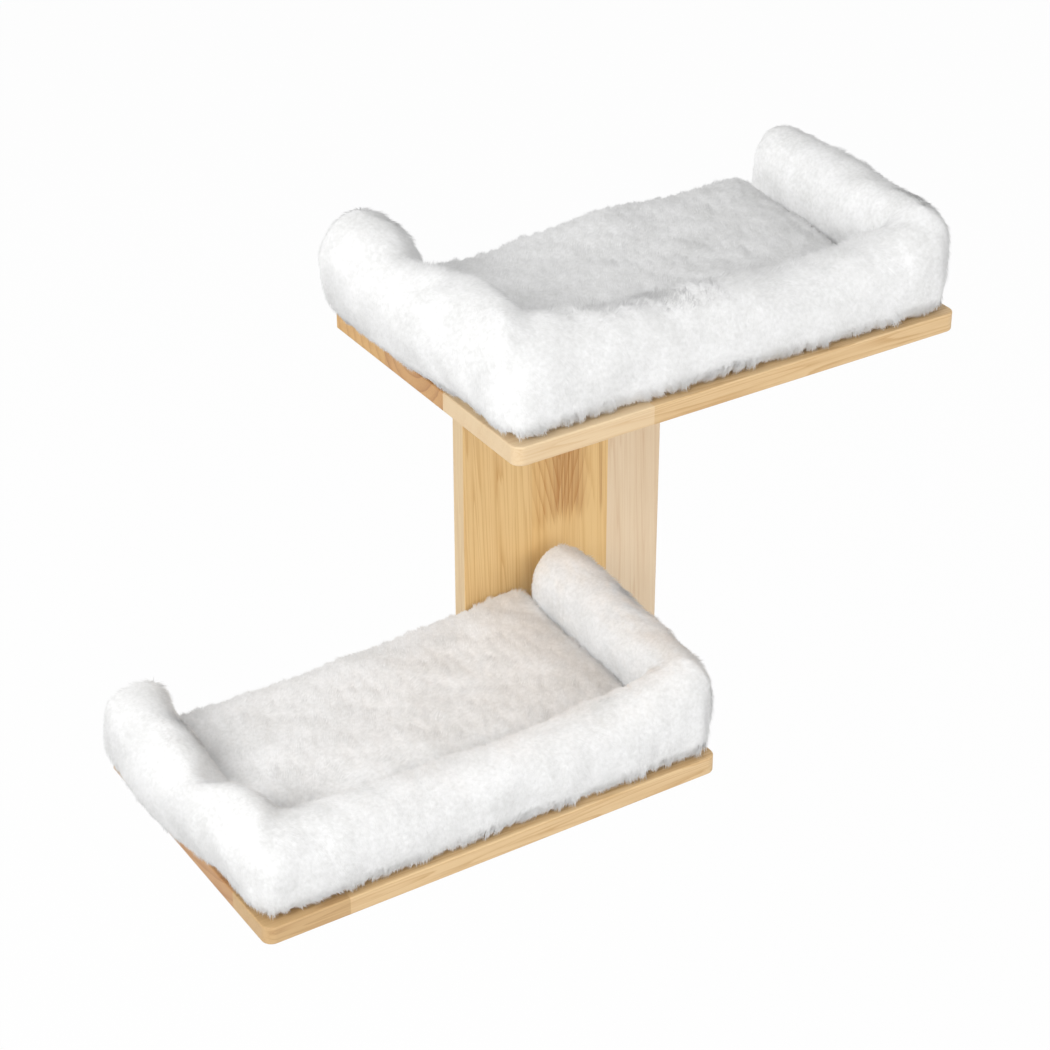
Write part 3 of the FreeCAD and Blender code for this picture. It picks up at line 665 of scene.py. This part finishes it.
for level in LEVELS:
    low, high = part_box(level + "_base_cloth")
    centre = (low.x + high.x) / 2
    roll = skins[level + "_bolster_cover"]
    pad = skins[level + "_mattress_cover"]

    def clear(middle, facing):
        return (middle[:, 2] > high.z + CLOTH_GAP) & (facing[:, 2] > -0.97)

    def on_left(middle, facing):
        return clear(middle, facing) & (middle[:, 0] < low.x + ROLL_END)

    def on_right(middle, facing):
        return clear(middle, facing) & (middle[:, 0] > high.x - ROLL_END)

    def on_front(middle, facing):
        return clear(middle, facing) & ~on_left(middle, facing) & ~on_right(middle, facing)

    def on_pad(middle, facing):
        return clear(middle, facing) & (facing[:, 2] > -0.2)

    def pad_left(middle, facing):
        return on_pad(middle, facing) & (middle[:, 0] < centre)

    def pad_right(middle, facing):
        return on_pad(middle, facing) & (middle[:, 0] >= centre)

    def along_hem(middle, facing):
        ends = (middle[:, 0] < low.x + HEM_DEPTH) | (middle[:, 0] > high.x - HEM_DEPTH)
        outside = ends | (middle[:, 1] < low.y + HEM_DEPTH)
        return outside & (middle[:, 2] < high.z + HEM_HEIGHT) & (facing[:, 2] > -0.7)

    def along_crest(middle, facing):
        upward = (facing[:, 1] > -0.6) & (facing[:, 1] < 0.15) & (facing[:, 2] > 0.6)
        top = (middle[:, 2] > high.z + CREST_HEIGHT) & (middle[:, 0] < centre)
        return on_front(middle, facing) & upward & top

    def short_behind(root, up):
        """Shorter pile where it faces the wall."""
        return np.interp(up[:, 1:2], (0.2, 0.7), (1.0, 0.4))

    def short_inside(root, up):
        """Shorter pile towards the mattress, and where it faces the wall."""
        return np.interp(up[:, :1], (-0.3, 0.6), (0.55, 0.85)) * short_behind(root, up)

    pile(level + "_fur_left", roll, level, PILE_DENSITY, on_left, trim=short_behind)
    pile(level + "_fur_front", roll, level, PILE_DENSITY, on_front)
    pile(level + "_fur_right", roll, level, PILE_DENSITY, on_right, trim=short_inside)
    pile(level + "_fur_pad_left", pad, level, PILE_DENSITY, pad_left, NAP_LENGTH, NAP_LEAN, comb=NAP_COMB)
    pile(level + "_fur_pad_right", pad, level, PILE_DENSITY, pad_right, NAP_LENGTH, NAP_LEAN, comb=NAP_COMB)
    pile(level + "_fur_hem", roll, level, HEM_DENSITY, along_hem, HEM_LENGTH, ragged=HEM_RAGGED,
         shadows=True)
    if level == "upper":
        pile(level + "_fur_crest", roll, level, CREST_DENSITY, along_crest, CREST_LENGTH, CREST_LEAN,
             CREST_RAGGED)


# Studio: a pale floor well below the hung perch and an even white surround.
# Large soft lamps: the main one to the left, weaker ones in front, to the right and behind.
FLOOR_DROP = 0.9
FLOOR_SIZE = 30.0
FLOOR_GLOW = 0.97
AIR_LIGHT = 0.4
WHITE = (1.0, 1.0, 1.0, 1.0)
LAMP_SIZE = 2.0
LAMP_AIM = Vector((-0.1, -0.15, 0.0))


def looked_at(wire):
    """1 where a ray shows the surface itself, straight or mirrored, 0 where it only lights other things."""
    path = wire.node("LightPath", {}, {}).socket.node
    straight_on = Wire(wire.tree, path.outputs["Is Camera Ray"])
    mirrored = Wire(wire.tree, path.outputs["Is Glossy Ray"])
    return straight_on + mirrored + Wire(wire.tree, path.outputs["Is Transmission Ray"])


bpy.ops.object.select_all(action="DESELECT")
bpy.ops.mesh.primitive_plane_add(size=FLOOR_SIZE, location=(0, 0, cad_box[0][2] - FLOOR_DROP))
floor = bpy.context.object
floor.name = "studio_floor"
floor_paint, floor_shader, _ = start_material("floor_paint")
floor_shader.inputs["Base Color"].default_value = (0.9, 0.9, 0.9, 1.0)
floor_shader.inputs["Roughness"].default_value = 0.9
floor_tree = floor_paint.node_tree
matt = Wire(floor_tree, floor_shader.outputs[0])
glow = matt.node("Emission", {}, {"Color": WHITE, "Strength": 1.0})
shown = matt.node("MixShader", {}, {0: looked_at(matt) * FLOOR_GLOW, 1: matt, 2: glow})
shown.feed(floor_tree.nodes["Material Output"].inputs["Surface"])
floor.data.materials.append(floor_paint)

world = bpy.data.worlds.new("studio_air")
bpy.context.scene.world = world
world.use_nodes = True
air = world.node_tree
dim = air.nodes["Background"]
dim.inputs["Color"].default_value = WHITE
dim.inputs["Strength"].default_value = AIR_LIGHT
sky = Wire(air, dim.outputs[0])
bright = sky.node("Background", {}, {"Color": WHITE, "Strength": 1.0})
surround = sky.node("MixShader", {}, {0: looked_at(sky), 1: sky, 2: bright})
surround.feed(air.nodes["World Output"].inputs["Surface"])


def soft_lamp(name, place, power):
    """A large round lamp at a place, aimed at the perch."""
    lamp = bpy.data.lights.new(name, "AREA")
    lamp.shape = "DISK"
    lamp.size = LAMP_SIZE
    lamp.energy = power
    holder = bpy.data.objects.new(name, lamp)
    holder.location = place
    holder.rotation_euler = (LAMP_AIM - Vector(place)).to_track_quat("-Z", "Y").to_euler()
    bpy.context.scene.collection.objects.link(holder)


soft_lamp("key_lamp", (-2.6, -1.1, 1.85), 59.0)
soft_lamp("front_lamp", (-0.6, -3.2, 1.0), 28.0)
soft_lamp("fill_lamp", (2.2, -2.4, 1.2), 22.0)
soft_lamp("back_lamp", (-0.4, 2.4, 1.6), 21.0)


# Camera: a long lens in front, to the left and above.
# Its place, turn and lens are those that fit the straight edges of the panels in the photo.
camera_data = bpy.data.cameras.new("camera")
camera_data.sensor_width = 36.0
camera_data.lens = 93.85
camera = bpy.data.objects.new("camera", camera_data)
camera.location = (-1.26953, -1.93943, 1.35182)
camera.rotation_euler = (math.radians(90 - 31.1445), 0.0, math.radians(-32.5162))
bpy.context.scene.collection.objects.link(camera)
bpy.context.scene.camera = camera
bpy.context.scene.view_settings.view_transform = "Standard"
